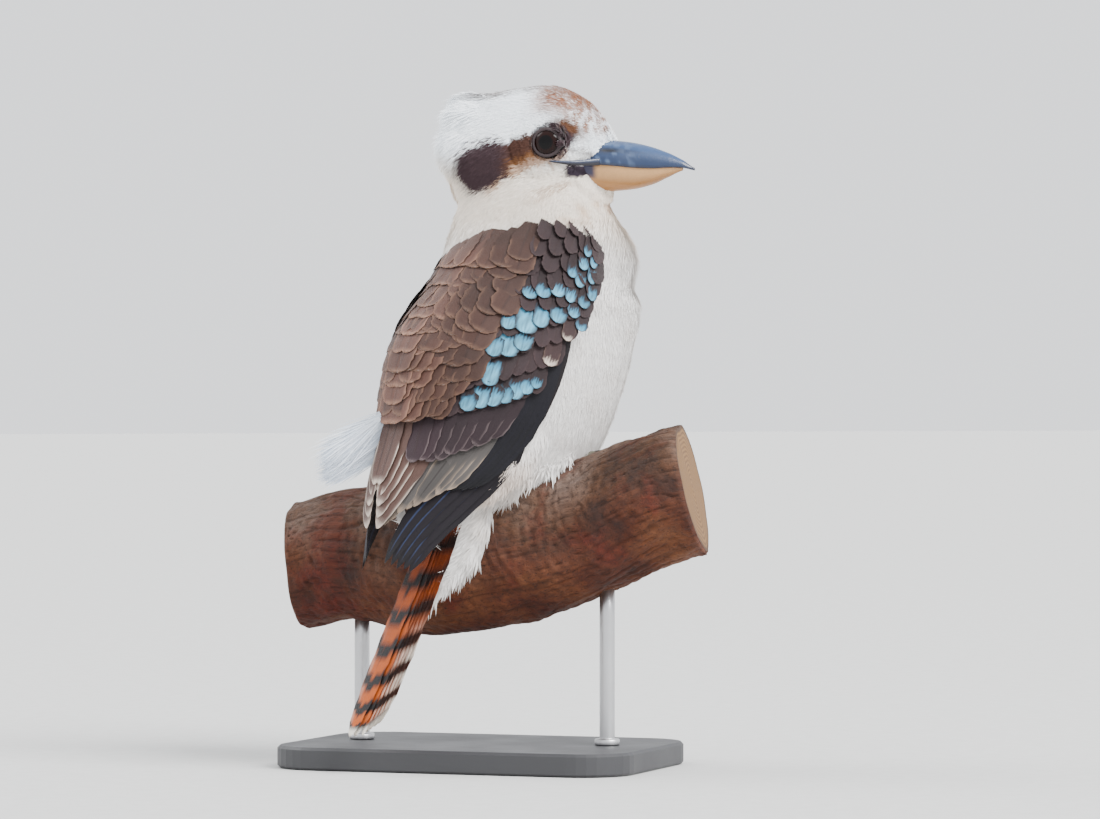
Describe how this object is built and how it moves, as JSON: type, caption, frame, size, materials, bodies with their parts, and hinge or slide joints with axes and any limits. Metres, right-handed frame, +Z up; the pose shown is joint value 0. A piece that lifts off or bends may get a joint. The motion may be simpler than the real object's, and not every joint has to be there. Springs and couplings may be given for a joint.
{
  "type": "laughing kookaburra",
  "caption": "Life-size laughing kookaburra perched with folded wings and turned head on a cut length of branch, held by a plain display stand.",
  "frame": {"origin": "centre of the display stand's underside, on the floor", "axes": "+Z up, +X the way the bird's body faces, +Y to the bird's left"},
  "size_m": [0.2035, 0.234, 0.3574],
  "materials": {
    "white_plumage": "soft white and cream feathers, buff tips in places",
    "wing_plumage": "dark brown feathers with pale fringes and light blue spots on the coverts",
    "tail_plumage": "rufous feathers with black bars and white tips",
    "bill_upper": "satin blue-grey horn",
    "bill_lower": "satin pale horn",
    "eye": "wet dark red-brown",
    "foot_skin": "scaly grey-olive skin",
    "claw": "dark horn",
    "bark": "rough weathered bark with grey and red-brown patches",
    "stand_steel": "satin steel rod",
    "stand_paint": "plain dark satin paint"
  },
  "bodies": {
    "root": {"head": "white_plumage", "neck": "white_plumage", "torso": "white_plumage", "right_eye": "eye", "left_eye": "eye", "upper_bill": "bill_upper", "lower_bill": "bill_lower", "right_wing": "wing_plumage", "left_wing": "wing_plumage", "tail": "tail_plumage", "undertail_coverts": "white_plumage", "rump_plume": "white_plumage", "right_thigh": "white_plumage", "right_foot": "foot_skin", "right_claw_1": "claw", "right_claw_2": "claw", "right_claw_3": "claw", "right_claw_4": "claw", "left_thigh": "white_plumage", "left_foot": "foot_skin", "left_claw_1": "claw", "left_claw_2": "claw", "left_claw_3": "claw", "left_claw_4": "claw", "perch_branch": "bark", "stand_rod_1": "stand_steel", "stand_rod_2": "stand_steel", "stand_base": "stand_paint"}
  },
  "joints": []
}
